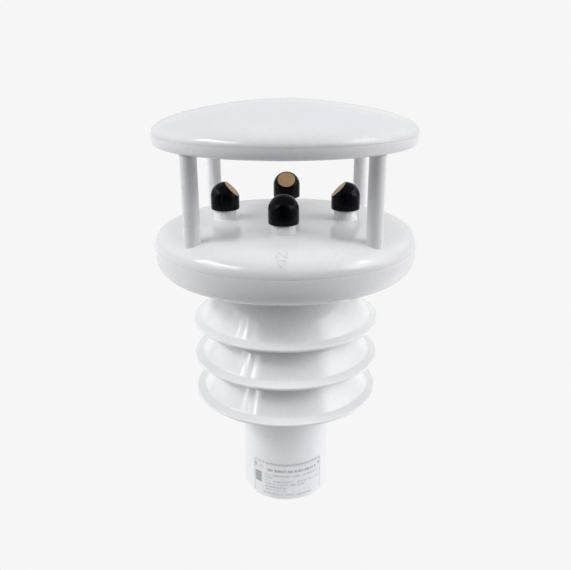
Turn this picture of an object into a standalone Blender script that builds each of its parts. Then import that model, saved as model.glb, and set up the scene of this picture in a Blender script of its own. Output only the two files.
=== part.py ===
"""Compact all-in-one ultrasonic weather station.

Two round discs joined by four posts make the wind section, with four angled
ultrasonic transducers on the lower disc.  A stack of three flared louvre
plates below it shades the temperature and humidity probe, and a plain 50 mm
tube at the foot takes the mast and the connector.

Frame: metres, +Z up, origin at the centre of the tube's bottom rim.
-Y is the face with the north mark and the rating plate.
"""
import math

import bmesh
import bpy
from mathutils import Matrix, Vector

MM = 0.001
GAP = 0.3 * MM                  # assembly gap between touching pieces

# ---------------------------------------------------------------- dimensions
# foot tube
TUBE_R = 25.0 * MM
SOCKET_R = 21.5 * MM            # mast socket
SOCKET_TOP = 42.0 * MM          # shoulder the connector plate seats on
UPPER_BORE_R = 15.5 * MM
FLANGE_Z0, FLANGE_Z1 = 62.0 * MM, 66.0 * MM
FLANGE_R = 36.0 * MM

# louvre plates
RIM_R = 51.7 * MM
RIM_Z = (65.7 * MM, 87.0 * MM, 108.3 * MM)      # bottom, middle, top plate
LIP_R = 47.0 * MM               # where the flat lip turns into the cone
LIP_H = 2.75 * MM
NECK_R = 37.0 * MM
NECK_H = 20.0 * MM
PLATE_T = 2.0 * MM
EAR_R, EAR_PCR = 4.3 * MM, 31.0 * MM
EAR_AZ = (90.0, 210.0, 330.0)

# lower disc (deck above, pan below)
DECK_R = 70.4 * MM
DECK_SEAM = 152.7 * MM
DECK_H, DECK_P, DECK_Q = 11.61 * MM, 7.32, 2.273
PAN_BOT = 136.4 * MM
PAN_R_IN, PAN_P = 51.8 * MM, 3.0
WALL = 2.5 * MM

# upper disc (cover above, reflector below)
TOP_R = 68.6 * MM
TOP_SEAM = 210.6 * MM
TOP_H, TOP_P, TOP_Q, TOP_C = 16.5 * MM, 1.3, 2.275, 5.0 * MM
REFL_BOT = 204.8 * MM
REFL_R_IN, REFL_P = 64.5 * MM, 2.8

# wind section
POST_PCR, POST_R = 61.7 * MM, 4.05 * MM
POST_AZ = {"front_left": 225.0, "front_right": 315.0,
           "back_left": 135.0, "back_right": 45.0}
SENSOR_PCR = 32.36 * MM
SENSOR_AZ = {"front": 270.0, "back": 90.0, "left": 180.0, "right": 0.0}
CAP_R, CAP_Z0, CAP_ZC = 7.65 * MM, 169.5 * MM, 176.3 * MM
FACE_D, FACE_R = 5.45 * MM, 4.95 * MM           # 45 degree cut from the dome's centre
PEDESTAL_R = 6.15 * MM
STEM_R = 3.6 * MM

# set screws in the foot
SET_Z, SET_R, SET_AZ = 13.0 * MM, 2.4 * MM, (45.0, 135.0)

SEG_BIG, SEG_MID, SEG_SMALL, SEG_TINY = 36, 28, 14, 8

# ---------------------------------------------------------------- scene setup
for ob in list(bpy.data.objects):
    bpy.data.objects.remove(ob, do_unlink=True)

MODEL = bpy.data.collections.new("weather_station")
CUTTERS = bpy.data.collections.new("cutters")
bpy.context.scene.collection.children.link(MODEL)
bpy.context.scene.collection.children.link(CUTTERS)
ROOT = bpy.data.objects.new("station_origin", None)
MODEL.objects.link(ROOT)


def material(name, colour, rough, metal=0.0):
    mat = bpy.data.materials.new(name)
    mat.use_nodes = True
    bsdf = mat.node_tree.nodes["Principled BSDF"]
    bsdf.inputs["Base Color"].default_value = (*colour, 1.0)
    bsdf.inputs["Roughness"].default_value = rough
    bsdf.inputs["Metallic"].default_value = metal
    return mat


WHITE = (0.80, 0.81, 0.82)
BLACK = (0.012, 0.013, 0.018)


def add(ob, mat, coll=MODEL):
    """Link an object, parent it and give it its own material."""
    for c in list(ob.users_collection):
        c.objects.unlink(ob)
    coll.objects.link(ob)
    if coll is MODEL:
        ob.parent = ROOT
        colour, rough, metal = mat
        ob.data.materials.clear()
        ob.data.materials.append(material(ob.name + "_mat", colour, rough, metal))
        ob.data.shade_smooth()
        ob.data.set_sharp_from_angle(angle=math.radians(35))
    else:
        ob.hide_render = True
        ob.display_type = 'WIRE'
    return ob


def lathe_mesh(name, profile, steps):
    """Mesh with a profile in XZ and a Screw modifier to go with it."""
    me = bpy.data.meshes.new(name)
    bm = bmesh.new()
    vs = [bm.verts.new((r, 0.0, z)) for r, z in profile]
    for a, b in zip(vs, vs[1:]):
        bm.edges.new((a, b))
    if profile[0][0] > 1e-7 or profile[-1][0] > 1e-7:
        bm.edges.new((vs[-1], vs[0]))
    bm.to_mesh(me)
    bm.free()
    return me


def lathe(name, profile, mat, steps=SEG_MID, coll=MODEL, loc=(0, 0, 0), rot=(0, 0, 0), mesh=None):
    me = mesh or lathe_mesh(name, profile, steps)
    ob = bpy.data.objects.new(name, me)
    mod = ob.modifiers.new("Screw", 'SCREW')
    mod.axis = 'Z'
    mod.angle = math.tau
    mod.steps = steps
    mod.render_steps = steps
    mod.use_merge_vertices = True
    mod.merge_threshold = 0.00001
    mod.use_smooth_shade = True
    ob.location = loc
    ob.rotation_euler = rot
    return add(ob, mat, coll)


def cylinder(name, r, z0, z1, x=0.0, y=0.0, seg=SEG_SMALL, rot=None, mat=None, coll=CUTTERS):
    """Upright cylinder from z0 to z1 (or along +X before a given rotation)."""
    bpy.ops.mesh.primitive_cylinder_add(vertices=seg, radius=r, depth=z1 - z0,
                                        location=(x, y, (z0 + z1) / 2))
    ob = bpy.context.object
    ob.name = name
    if rot is not None:
        ob.rotation_euler = rot
    return add(ob, mat, coll)


def box(name, size, centre, rot=(0, 0, 0), mat=None, coll=CUTTERS):
    bpy.ops.mesh.primitive_cube_add(size=1.0, location=centre, rotation=rot)
    ob = bpy.context.object
    ob.name = name
    ob.data.transform(Matrix.Diagonal((size[0], size[1], size[2], 1.0)))
    return add(ob, mat, coll)


def boolean(target, tool, op='DIFFERENCE'):
    mod = target.modifiers.new("Bool_" + tool.name, 'BOOLEAN')
    mod.operation = op
    mod.object = tool
    mod.solver = 'EXACT'
    return mod


def polar(radius, az):
    a = math.radians(az)
    return radius * math.cos(a), radius * math.sin(a)


# ---------------------------------------------------------------- profiles
def top_height(r, big_r=TOP_R, h=TOP_H):
    """Upper disc: shallow cone with a rounded tip and shoulder."""
    rho = math.sqrt(r * r + TOP_C ** 2 * (1 - (r / big_r) ** 2))
    return TOP_SEAM + h * max(0.0, 1 - (rho / big_r) ** TOP_P) ** (1 / TOP_Q)


def deck_height(r, big_r=DECK_R, h=DECK_H):
    """Lower disc: nearly flat crown with a full round shoulder."""
    return DECK_SEAM + h * max(0.0, 1 - (r / big_r) ** DECK_P) ** (1 / DECK_Q)


def bowl(big_r, r_in, z_top, z_bot, power, n):
    """Quarter round from the widest point down to the flat bottom."""
    pts = []
    for i in range(n + 1):
        t = math.pi / 2 * i / n
        pts.append((r_in + (big_r - r_in) * math.cos(t) ** (2 / power),
                    z_top - (z_top - z_bot) * math.sin(t) ** (2 / power)))
    return pts


def crown(height, big_r, fractions):
    return [(big_r * f, height(big_r * f)) for f in fractions]


CROWN_F = (0.0, 0.35, 0.65, 0.83, 0.93, 0.985, 1.0)
DECK_F = (0.0, 0.60, 0.78, 0.88, 0.945, 0.985, 1.0)
CROWN_IN = (1.0, 0.97, 0.87, 0.55, 0.0)


def cone(z, offset=0.0):
    """Radius of a louvre plate's cone at height z above its rim, moved in by offset."""
    a, b = LIP_R - NECK_R, NECK_H - LIP_H
    return LIP_R - a * (z - LIP_H) / b - offset * math.hypot(a, b) / b


# ---------------------------------------------------------------- upper disc
outer = crown(top_height, TOP_R, CROWN_F)
inner = [(f * (TOP_R - WALL), top_height(f * (TOP_R - WALL), TOP_R - WALL, TOP_H - WALL))
         for f in CROWN_IN]
outer[-1] = (TOP_R, TOP_SEAM + GAP / 2)
inner[0] = (TOP_R - WALL, TOP_SEAM + GAP / 2)
cover = lathe("top_cover", outer + inner, (WHITE, 0.22, 0.0), SEG_BIG)

low = bowl(TOP_R, REFL_R_IN, TOP_SEAM - GAP / 2, REFL_BOT, REFL_P, 3)
low_in = bowl(TOP_R - WALL, REFL_R_IN - WALL, TOP_SEAM - GAP / 2, REFL_BOT + WALL, REFL_P, 2)
reflector = lathe("reflector_plate", low + [(0.0, REFL_BOT), (0.0, REFL_BOT + WALL)] + low_in[::-1],
                  (WHITE, 0.25, 0.0), SEG_BIG)

g = 0.8 * MM
lathe("top_gasket", [(TOP_R - WALL - 0.4 * MM, TOP_SEAM + g), (TOP_R - WALL - 0.4 * MM, TOP_SEAM - g),
                     (TOP_R - WALL - 1.3 * MM, TOP_SEAM - g), (TOP_R - WALL - 1.3 * MM, TOP_SEAM + g)],
      ((0.05, 0.05, 0.05), 0.6, 0.0), SEG_BIG)

# ---------------------------------------------------------------- lower disc
outer = crown(deck_height, DECK_R, DECK_F)
inner = [(f * (DECK_R - WALL), deck_height(f * (DECK_R - WALL), DECK_R - WALL, DECK_H - WALL))
         for f in CROWN_IN]
outer[-1] = (DECK_R, DECK_SEAM + GAP / 2)
inner[0] = (DECK_R - WALL, DECK_SEAM + GAP / 2)
deck = lathe("deck_shell", outer + inner, (WHITE, 0.20, 0.0), SEG_BIG)

BOSS_R, BOSS_Z0 = 36.5 * MM, 129.5 * MM
low = bowl(DECK_R, PAN_R_IN, DECK_SEAM - GAP / 2, PAN_BOT, PAN_P, 5)
low_in = bowl(DECK_R - WALL, PAN_R_IN - WALL, DECK_SEAM - GAP / 2, PAN_BOT + WALL, PAN_P, 3)
pan = lathe("deck_pan", low + [(BOSS_R, PAN_BOT), (BOSS_R, BOSS_Z0), (26.5 * MM, BOSS_Z0),
                               (26.5 * MM, PAN_BOT), (6.6 * MM, PAN_BOT), (6.6 * MM, PAN_BOT + WALL)]
            + low_in[::-1], (WHITE, 0.22, 0.0), SEG_BIG)

lathe("deck_gasket", [(DECK_R - WALL - 0.6 * MM, DECK_SEAM + g), (DECK_R - WALL - 0.6 * MM, DECK_SEAM - g),
                      (DECK_R - WALL - 2.0 * MM, DECK_SEAM - g), (DECK_R - WALL - 2.0 * MM, DECK_SEAM + g)],
      ((0.05, 0.05, 0.05), 0.6, 0.0), SEG_BIG)

# transducer pedestals moulded on the deck, each with its bore
for tag, az in SENSOR_AZ.items():
    x, y = polar(SENSOR_PCR, az)
    ped = cylinder("pedestal_" + tag, PEDESTAL_R, 163.6 * MM, CAP_Z0 - GAP, x, y, 24)
    boolean(deck, ped, 'UNION')
    bore = cylinder("pedestal_bore_" + tag, STEM_R + GAP, 155.0 * MM, 175.0 * MM, x, y, 10)
    boolean(deck, bore)

# tie screw bosses: under the deck, and under the top cover; holes through the reflector
for tag, az in POST_AZ.items():
    x, y = polar(POST_PCR, az)
    b = cylinder("deck_boss_" + tag, 3.8 * MM, 153.2 * MM, 160.9 * MM, x, y, 10)
    boolean(deck, b, 'UNION')
    seat = cylinder("post_seat_" + tag, POST_R, 159.9 * MM, deck_height(POST_PCR - POST_R), x, y, SEG_SMALL)
    boolean(deck, seat, 'UNION')
    boolean(deck, cylinder("deck_tie_hole_" + tag, 1.8 * MM, 150.0 * MM, 170.0 * MM, x, y, SEG_TINY))
    b = cylinder("cover_boss_" + tag, 2.7 * MM, 209.6 * MM, 215.6 * MM, x, y, 10)
    boolean(cover, b, 'UNION')
    boolean(cover, cylinder("cover_tie_hole_" + tag, 1.8 * MM, 205.0 * MM, 213.6 * MM, x, y, SEG_TINY))
    boolean(reflector, cylinder("refl_tie_hole_" + tag, 1.8 * MM, 203.0 * MM, 210.0 * MM, x, y, SEG_TINY))

# pan screws go up into deck bosses
PAN_SCREW_R = 56.0 * MM
PAN_SCREW_AZ = {"front": 270.0, "back": 90.0, "left": 180.0, "right": 0.0}
for tag, az in PAN_SCREW_AZ.items():
    x, y = polar(PAN_SCREW_R, az)
    boolean(deck, cylinder("deck_screw_boss_" + tag, 3.9 * MM, 149.0 * MM, 161.6 * MM, x, y, 10), 'UNION')
    boolean(deck, cylinder("deck_screw_hole_" + tag, 1.8 * MM, 145.0 * MM, 159.0 * MM, x, y, SEG_TINY))
    boolean(pan, cylinder("pan_boss_" + tag, 4.2 * MM, 137.6 * MM, 148.7 * MM, x, y, 10), 'UNION')
    boolean(pan, cylinder("pan_screw_hole_" + tag, 1.8 * MM, 130.0 * MM, 152.0 * MM, x, y, SEG_TINY))
    boolean(pan, cylinder("pan_screw_sink_" + tag, 3.3 * MM, 133.0 * MM, 140.0 * MM, x, y, 10))

# shallow scallop under the front edge of the pan
SCALLOP_X, SCALLOP_Y, SCALLOP_Z = -1.9 * MM, -68.66 * MM, 121.06 * MM
boolean(pan, cylinder("pan_scallop", 18.0 * MM, SCALLOP_Z - 7 * MM, SCALLOP_Z + 7 * MM,
                      SCALLOP_X, SCALLOP_Y, 56, rot=(math.radians(70.5), 0, 0)))

# circuit board and its standoffs
BOARD_Z, BOARD_T, BOARD_R = 145.6 * MM, 1.6 * MM, 48.0 * MM
BOARD_AZ = {"a": 45.0, "b": 135.0, "c": 225.0, "d": 315.0}
board = cylinder("main_board", BOARD_R, BOARD_Z, BOARD_Z + BOARD_T, seg=SEG_MID,
                 mat=((0.03, 0.20, 0.09), 0.45, 0.0), coll=MODEL)
for name, size, centre in (("chip_main", (12, 12, 2.2), (-18, 16, 0.9)),
                           ("chip_amp", (8, 6, 2.0), (18, 14, 0.8)),
                           ("chip_power", (9, 7, 3.4), (20, -16, 1.5)),
                           ("chip_socket", (14, 6, 6.4), (-16, -18, 3.0))):
    boolean(board, box(name, [s * MM for s in size],
                       (centre[0] * MM, centre[1] * MM, BOARD_Z + BOARD_T + centre[2] * MM)), 'UNION')
for tag, az in BOARD_AZ.items():
    x, y = polar(42.0 * MM, az)
    boolean(pan, cylinder("standoff_" + tag, 3.2 * MM, 137.6 * MM, BOARD_Z - GAP, x, y, 10), 'UNION')
    boolean(pan, cylinder("standoff_hole_" + tag, 1.55 * MM, 140.5 * MM, 150.0 * MM, x, y, SEG_TINY))
    boolean(board, cylinder("board_hole_" + tag, 1.65 * MM, 140.0 * MM, 150.0 * MM, x, y, SEG_TINY))

# harness passage beside the probe, and blind holes for the shield screws
HARNESS_X, HARNESS_Y, HARNESS_R = -11.5 * MM, 4.0 * MM, 1.75 * MM
boolean(pan, cylinder("harness_hole_pan", 2.3 * MM, 130.0 * MM, 143.0 * MM, HARNESS_X, HARNESS_Y, 10))
for i, az in enumerate(EAR_AZ):
    x, y = polar(EAR_PCR, az)
    boolean(pan, cylinder("pan_rod_hole_%d" % i, 1.8 * MM, 125.0 * MM, 137.5 * MM, x, y, SEG_TINY))

# ---------------------------------------------------------------- louvre plates
PLATE_NAMES = ("louvre_plate_bottom", "louvre_plate_middle", "louvre_plate_top")
for k, (name, z0) in enumerate(zip(PLATE_NAMES, RIM_Z)):
    prof = [(NECK_R, z0 + NECK_H), (LIP_R, z0 + LIP_H), (RIM_R, z0 + 1.35 * MM), (RIM_R, z0),
            (RIM_R - 1.9 * MM, z0), (cone(0.75 * MM, PLATE_T), z0 + 0.75 * MM),
            (cone(NECK_H, PLATE_T), z0 + NECK_H)]
    plate = lathe(name, prof, (WHITE, 0.15, 0.0), 32)
    ear_top = z0 + 21.0 * MM - (0.1 * MM if k == 2 else 0.0)
    for i, az in enumerate(EAR_AZ):
        x, y = polar(EAR_PCR, az)
        a = math.radians(az)
        ear = cylinder("ear_%d_%d" % (k, i), EAR_R, z0 + 0.6 * MM, ear_top, x, y, 10)
        web = box("ear_web_%d_%d" % (k, i), (5.8 * MM, 3.6 * MM, 6.4 * MM),
                  (34.1 * MM * math.cos(a), 34.1 * MM * math.sin(a), z0 + 16.2 * MM), (0, 0, a))
        boolean(plate, ear, 'UNION')
        boolean(plate, web, 'UNION')
        boolean(plate, cylinder("ear_hole_%d_%d" % (k, i), 1.8 * MM, z0 - 2 * MM, z0 + 26 * MM,
                                x, y, SEG_TINY))

# ---------------------------------------------------------------- foot tube
tube = lathe("mount_tube", [
    (0.0, FLANGE_Z1), (FLANGE_R, FLANGE_Z1), (FLANGE_R, FLANGE_Z0),
    (TUBE_R + 2 * MM, FLANGE_Z0), (TUBE_R, FLANGE_Z0 - 2 * MM), (TUBE_R, 0.8 * MM), (TUBE_R - 0.8 * MM, 0.0),
    (SOCKET_R + 0.5 * MM, 0.0), (SOCKET_R, 0.5 * MM), (SOCKET_R, SOCKET_TOP),
    (UPPER_BORE_R, SOCKET_TOP), (UPPER_BORE_R, FLANGE_Z0), (0.0, FLANGE_Z0)],
    (WHITE, 0.30, 0.0), SEG_BIG)
for i, az in enumerate(EAR_AZ):
    x, y = polar(EAR_PCR, az)
    boolean(tube, cylinder("flange_hole_%d" % i, 1.8 * MM, 58 * MM, 70 * MM, x, y, SEG_TINY))
boolean(tube, cylinder("harness_hole_tube", 2.3 * MM, 58 * MM, 70 * MM, HARNESS_X, HARNESS_Y, 10))
for i, az in enumerate(SET_AZ):
    a = math.radians(az)
    boolean(tube, cylinder("set_hole_%d" % i, SET_R + 0.25 * MM, SET_Z - 5 * MM, SET_Z + 5 * MM,
                           23.0 * MM * math.cos(a), 23.0 * MM * math.sin(a), 16,
                           rot=(0, math.pi / 2, a)))

# connector plate seated on the shoulder, with three sunk screws
PLATE_Z0, PLATE_Z1 = 39.0 * MM, SOCKET_TOP - GAP
SEAL_SINK = 0.3 * MM          # shallow seat that locates the connector's seal
cplate = lathe("connector_plate", [(SOCKET_R - GAP, PLATE_Z1), (SOCKET_R - GAP, PLATE_Z0),
                                   (11.0 * MM, PLATE_Z0), (11.0 * MM, PLATE_Z0 + SEAL_SINK),
                                   (6.4 * MM, PLATE_Z0 + SEAL_SINK), (6.4 * MM, PLATE_Z1)],
               ((0.55, 0.56, 0.58), 0.35, 0.9), SEG_MID)
for i, az in enumerate((30.0, 150.0, 270.0)):
    x, y = polar(17.8 * MM, az)
    boolean(cplate, cylinder("cplate_hole_%d" % i, 1.5 * MM, 36 * MM, 44 * MM, x, y, SEG_TINY))
    boolean(cplate, cylinder("cplate_sink_%d" % i, 2.5 * MM, 36 * MM, 40.6 * MM, x, y, SEG_TINY))
    boolean(tube, cylinder("tube_plate_hole_%d" % i, 1.5 * MM, 40 * MM, 49 * MM, x, y, SEG_TINY))


def screw(name, head_r, head_h, shank_r, length, loc, up=True, socket=False, mesh=None):
    """Cap screw: the head sits at loc and the shank runs up (or down)."""
    prof = [(0.0, length), (shank_r, length), (shank_r, 0.0), (head_r, 0.0), (head_r, -head_h)]
    if socket:
        prof += [(1.15 * MM, -head_h), (1.15 * MM, -head_h * 0.45), (0.0, -head_h * 0.45)]
    else:
        prof += [(0.0, -head_h)]
    rot = (0, 0, 0) if up else (math.pi, 0, 0)
    return lathe(name, prof, ((0.62, 0.62, 0.60), 0.3, 1.0), SEG_TINY, loc=loc, rot=rot, mesh=mesh)


# ---------------------------------------------------------------- posts and their tie screws
post_mesh = None
tie_mesh = None
for tag, az in POST_AZ.items():
    x, y = polar(POST_PCR, az)
    z0 = deck_height(POST_PCR - POST_R) + GAP
    z1 = REFL_BOT - GAP
    ob = lathe("support_post_" + tag, [(POST_R, z1), (POST_R, z0), (1.8 * MM, z0), (1.8 * MM, z1)],
               (WHITE, 0.25, 0.0), SEG_SMALL, loc=(x, y, 0), mesh=post_mesh)
    post_mesh = ob.data
    ob = screw("tie_screw_" + tag, 2.8 * MM, 2.4 * MM, 1.5 * MM, 60.0 * MM, (x, y, 152.9 * MM), mesh=tie_mesh)
    tie_mesh = ob.data

m = None
for tag, az in PAN_SCREW_AZ.items():
    x, y = polar(PAN_SCREW_R, az)
    m = screw("pan_screw_" + tag, 2.9 * MM, 2.2 * MM, 1.5 * MM, 18.2 * MM, (x, y, 139.7 * MM), socket=True, mesh=m).data
m = None
for tag, az in BOARD_AZ.items():
    x, y = polar(42.0 * MM, az)
    m = screw("board_screw_" + tag, 2.6 * MM, 1.8 * MM, 1.25 * MM, 5.6 * MM,
              (x, y, BOARD_Z + BOARD_T + GAP), up=False, mesh=m).data
m = None
for i, az in enumerate(EAR_AZ):
    x, y = polar(EAR_PCR, az)
    m = screw("shield_screw_%s" % "abc"[i], 2.8 * MM, 2.6 * MM, 1.5 * MM, 75.0 * MM,
              (x, y, FLANGE_Z0 - GAP), socket=True, mesh=m).data
m = None
for i, az in enumerate((30.0, 150.0, 270.0)):
    x, y = polar(17.8 * MM, az)
    m = screw("plate_screw_%s" % "abc"[i], 2.1 * MM, 1.2 * MM, 1.2 * MM, 6.8 * MM,
              (x, y, 40.3 * MM), socket=True, mesh=m).data

# ---------------------------------------------------------------- transducers
CUT45 = math.pi / 4
for tag, az in SENSOR_AZ.items():
    x, y = polar(SENSOR_PCR, az)
    a = math.radians(az)
    inward = Vector((-math.cos(a), -math.sin(a), 0.0))
    n = (inward + Vector((0, 0, 1))).normalized()       # face normal, 45 degrees up and inward
    dome = [(CAP_R * math.cos(t), CAP_ZC + CAP_R * math.sin(t))
            for t in [math.pi / 2 * (1 - i / 5) for i in range(6)]]
    dome[0] = (0.0, CAP_ZC + CAP_R)
    prof = dome + [(CAP_R, CAP_Z0), (STEM_R, CAP_Z0), (STEM_R, 156.4 * MM), (0.0, 156.4 * MM)]
    cap = lathe("transducer_cap_" + tag, prof, (BLACK, 0.38, 0.0), 20, loc=(x, y, 0))
    centre = Vector((x, y, CAP_ZC))
    q = n.to_track_quat('Z', 'Y').to_euler()
    cut = box("cap_cut_" + tag, (24 * MM, 24 * MM, 10 * MM), centre + n * (FACE_D + 5 * MM), q)
    boolean(cap, cut)
    bpy.ops.mesh.primitive_cylinder_add(vertices=24, radius=FACE_R + 0.2 * MM, depth=8 * MM,
                                        location=centre + n * (FACE_D - 1.4 * MM + 4 * MM), rotation=q)
    rec = bpy.context.object
    rec.name = "cap_recess_" + tag
    add(rec, None, CUTTERS)
    boolean(cap, rec)
    bpy.ops.mesh.primitive_cylinder_add(vertices=24, radius=FACE_R, depth=1.0 * MM,
                                        location=centre + n * (FACE_D - 1.1 * MM + 0.5 * MM), rotation=q)
    face = bpy.context.object
    face.name = "transducer_face_" + tag
    add(face, ((0.45, 0.27, 0.13), 0.55, 0.0))
    zi = deck_height(SENSOR_PCR, DECK_R - WALL, DECK_H - WALL)
    bpy.ops.mesh.primitive_cylinder_add(vertices=6, radius=6.4 * MM, depth=2.6 * MM,
                                        location=(x, y, zi - 0.45 * MM - 1.3 * MM))
    nut = bpy.context.object
    nut.name = "transducer_nut_" + tag
    add(nut, ((0.7, 0.6, 0.35), 0.3, 1.0))
    boolean(nut, cylinder("nut_bore_" + tag, STEM_R + 0.25 * MM, 150 * MM, 170 * MM, x, y, 10))

# ---------------------------------------------------------------- air probe
lathe("air_probe", [(0.0, 142.6 * MM), (2.2 * MM, 142.6 * MM), (2.2 * MM, 141.4 * MM), (9.5 * MM, 141.4 * MM),
                    (9.5 * MM, PAN_BOT + WALL + GAP), (6.2 * MM, PAN_BOT + WALL + GAP), (6.2 * MM, 118.0 * MM),
                    (4.4 * MM, 118.0 * MM), (4.4 * MM, 104.0 * MM), (0.0, 104.0 * MM)],
      ((0.75, 0.76, 0.77), 0.4, 0.0), 20)
lathe("probe_filter", [(6.4 * MM, 117.6 * MM), (6.4 * MM, 93.5 * MM), (5.2 * MM, 92.0 * MM), (0.0, 92.0 * MM),
                       (0.0, 94.0 * MM), (4.8 * MM, 94.0 * MM), (4.8 * MM, 117.6 * MM)],
      ((0.78, 0.78, 0.76), 0.8, 0.0), 20)

# ---------------------------------------------------------------- panel connector
STEEL = ((0.60, 0.61, 0.63), 0.28, 1.0)
lathe("connector_shell", [(6.0 * MM, 49.0 * MM), (6.0 * MM, 37.2 * MM), (10.5 * MM, 37.2 * MM), (10.5 * MM, 35.2 * MM),
                          (8.0 * MM, 35.2 * MM), (8.0 * MM, 23.0 * MM), (6.6 * MM, 23.0 * MM), (6.6 * MM, 35.4 * MM),
                          (4.6 * MM, 35.4 * MM), (4.6 * MM, 49.0 * MM)], STEEL, 20)
lathe("connector_seal", [(10.0 * MM, PLATE_Z0 + SEAL_SINK - GAP), (10.0 * MM, 37.5 * MM), (6.5 * MM, 37.5 * MM),
                         (6.5 * MM, PLATE_Z0 + SEAL_SINK - GAP)], ((0.05, 0.05, 0.05), 0.6, 0.0), 20)
bpy.ops.mesh.primitive_cylinder_add(vertices=6, radius=9.6 * MM, depth=2.8 * MM,
                                    location=(0, 0, PLATE_Z1 + GAP + 1.4 * MM))
cnut = bpy.context.object
cnut.name = "connector_nut"
add(cnut, STEEL)
boolean(cnut, cylinder("cnut_bore", 6.25 * MM, 38 * MM, 50 * MM, seg=24))
insert = lathe("connector_insert", [(0.0, 34.9 * MM), (6.2 * MM, 34.9 * MM), (6.2 * MM, 31.8 * MM),
                                    (0.0, 31.8 * MM)], ((0.02, 0.02, 0.02), 0.5, 0.0), 20)
for i in range(4):
    x, y = polar(3.2 * MM, 45.0 + 90.0 * i)
    boolean(insert, cylinder("insert_hole_%d" % i, 0.95 * MM, 30 * MM, 37 * MM, x, y, 8))
    cylinder("connector_pin_%d" % (i + 1), 0.65 * MM, 26.0 * MM, 36.5 * MM, x, y, 8,
             mat=((0.83, 0.62, 0.22), 0.25, 1.0), coll=MODEL)

# ---------------------------------------------------------------- internal harness
way = [Vector(p) * MM for p in ((-11.5, 4.0, 145.2), (-11.5, 4.0, 120.0), (-11.5, 4.0, 95.0),
                                (-11.5, 4.0, 72.0), (-11.3, 3.9, 62.0), (-7.0, 2.4, 55.5),
                                (-1.2, 0.4, 52.0), (0.0, 0.0, 46.0), (0.0, 0.0, 37.2))]


def catmull(points, per):
    """Points along a smooth curve through the route's own points."""
    ext = [points[0] * 2 - points[1]] + points + [points[-1] * 2 - points[-2]]
    res = []
    for i in range(1, len(ext) - 2):
        p0, p1, p2, p3 = ext[i - 1:i + 3]
        for j in range(per):
            t = j / per
            res.append(0.5 * ((2 * p1) + (p2 - p0) * t + (2 * p0 - 5 * p1 + 4 * p2 - p3) * t * t
                              + (3 * p1 - p0 - 3 * p2 + p3) * t ** 3))
    res.append(points[-1].copy())
    return res


pts = catmull(way, 2)
cu = bpy.data.curves.new("harness_cable", 'CURVE')
cu.dimensions = '3D'
sp = cu.splines.new('POLY')
sp.points.add(len(pts) - 1)
for pnt, co in zip(sp.points, pts):
    pnt.co = (*co, 1.0)
cu.bevel_depth = HARNESS_R
cu.bevel_resolution = 2
cu.use_fill_caps = True
cable = bpy.data.objects.new("harness_cable", cu)
MODEL.objects.link(cable)
cable.parent = ROOT
cable.data.materials.append(material("harness_cable_mat", (0.03, 0.03, 0.03), 0.5))

# ---------------------------------------------------------------- rating plate
LABEL_AZ0, LABEL_AZ1 = 270.0 - 46.5, 270.0 + 54.0
LABEL_Z0, LABEL_Z1 = 2.6 * MM, 24.4 * MM
me = bpy.data.meshes.new("rating_label")
bm = bmesh.new()
cols = 20
rows = []
for z in (LABEL_Z0, LABEL_Z1):
    rows.append([bm.verts.new((*polar(TUBE_R + 0.3 * MM, LABEL_AZ0 + (LABEL_AZ1 - LABEL_AZ0) * i / cols), z))
                 for i in range(cols + 1)])
for i in range(cols):
    bm.faces.new((rows[0][i], rows[0][i + 1], rows[1][i + 1], rows[1][i]))
bm.to_mesh(me)
bm.free()
label = bpy.data.objects.new("rating_label", me)
sol = label.modifiers.new("Solidify", 'SOLIDIFY')
sol.thickness = 0.25 * MM
sol.offset = 1.0
add(label, ((0.72, 0.73, 0.75), 0.35, 0.4))

# ---------------------------------------------------------------- mast set screws
# Each has its origin on its own slide axis; its local +X points outward.
for i, (az, tag) in enumerate(zip(SET_AZ, ("right", "left"))):
    a = math.radians(az)
    prof = [(0.0, 1.6 * MM), (0.9 * MM, 1.6 * MM), (SET_R - 0.5 * MM, 1.6 * MM), (SET_R, 1.2 * MM),
            (SET_R, -1.2 * MM), (SET_R - 0.5 * MM, -1.6 * MM), (0.0, -1.6 * MM)]
    prof = [(0.0, 0.2 * MM), (1.2 * MM, 0.2 * MM), (1.2 * MM, 1.6 * MM)] + prof[2:]
    lathe("set_screw_" + tag, prof, ((0.35, 0.35, 0.36), 0.35, 1.0), SEG_SMALL,
          loc=(23.2 * MM * math.cos(a), 23.2 * MM * math.sin(a), SET_Z), rot=(0, math.pi / 2, a))
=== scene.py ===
"""Looks of the compact ultrasonic weather station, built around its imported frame."""
import math
import random

import bmesh
import bpy
from mathutils import Matrix, Vector


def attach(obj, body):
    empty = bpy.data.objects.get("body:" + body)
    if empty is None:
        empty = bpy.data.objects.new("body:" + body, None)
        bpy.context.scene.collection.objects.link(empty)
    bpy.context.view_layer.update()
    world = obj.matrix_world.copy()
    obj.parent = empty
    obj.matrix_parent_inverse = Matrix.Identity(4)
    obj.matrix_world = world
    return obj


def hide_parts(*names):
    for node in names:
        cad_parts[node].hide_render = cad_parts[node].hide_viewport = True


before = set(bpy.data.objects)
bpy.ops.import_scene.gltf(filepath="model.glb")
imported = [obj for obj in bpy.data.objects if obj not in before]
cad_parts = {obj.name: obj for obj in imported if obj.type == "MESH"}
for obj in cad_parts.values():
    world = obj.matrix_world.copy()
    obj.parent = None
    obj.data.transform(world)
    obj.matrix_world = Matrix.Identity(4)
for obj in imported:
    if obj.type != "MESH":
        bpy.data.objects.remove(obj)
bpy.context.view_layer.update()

MM = 0.001
STATION = "station"

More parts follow.
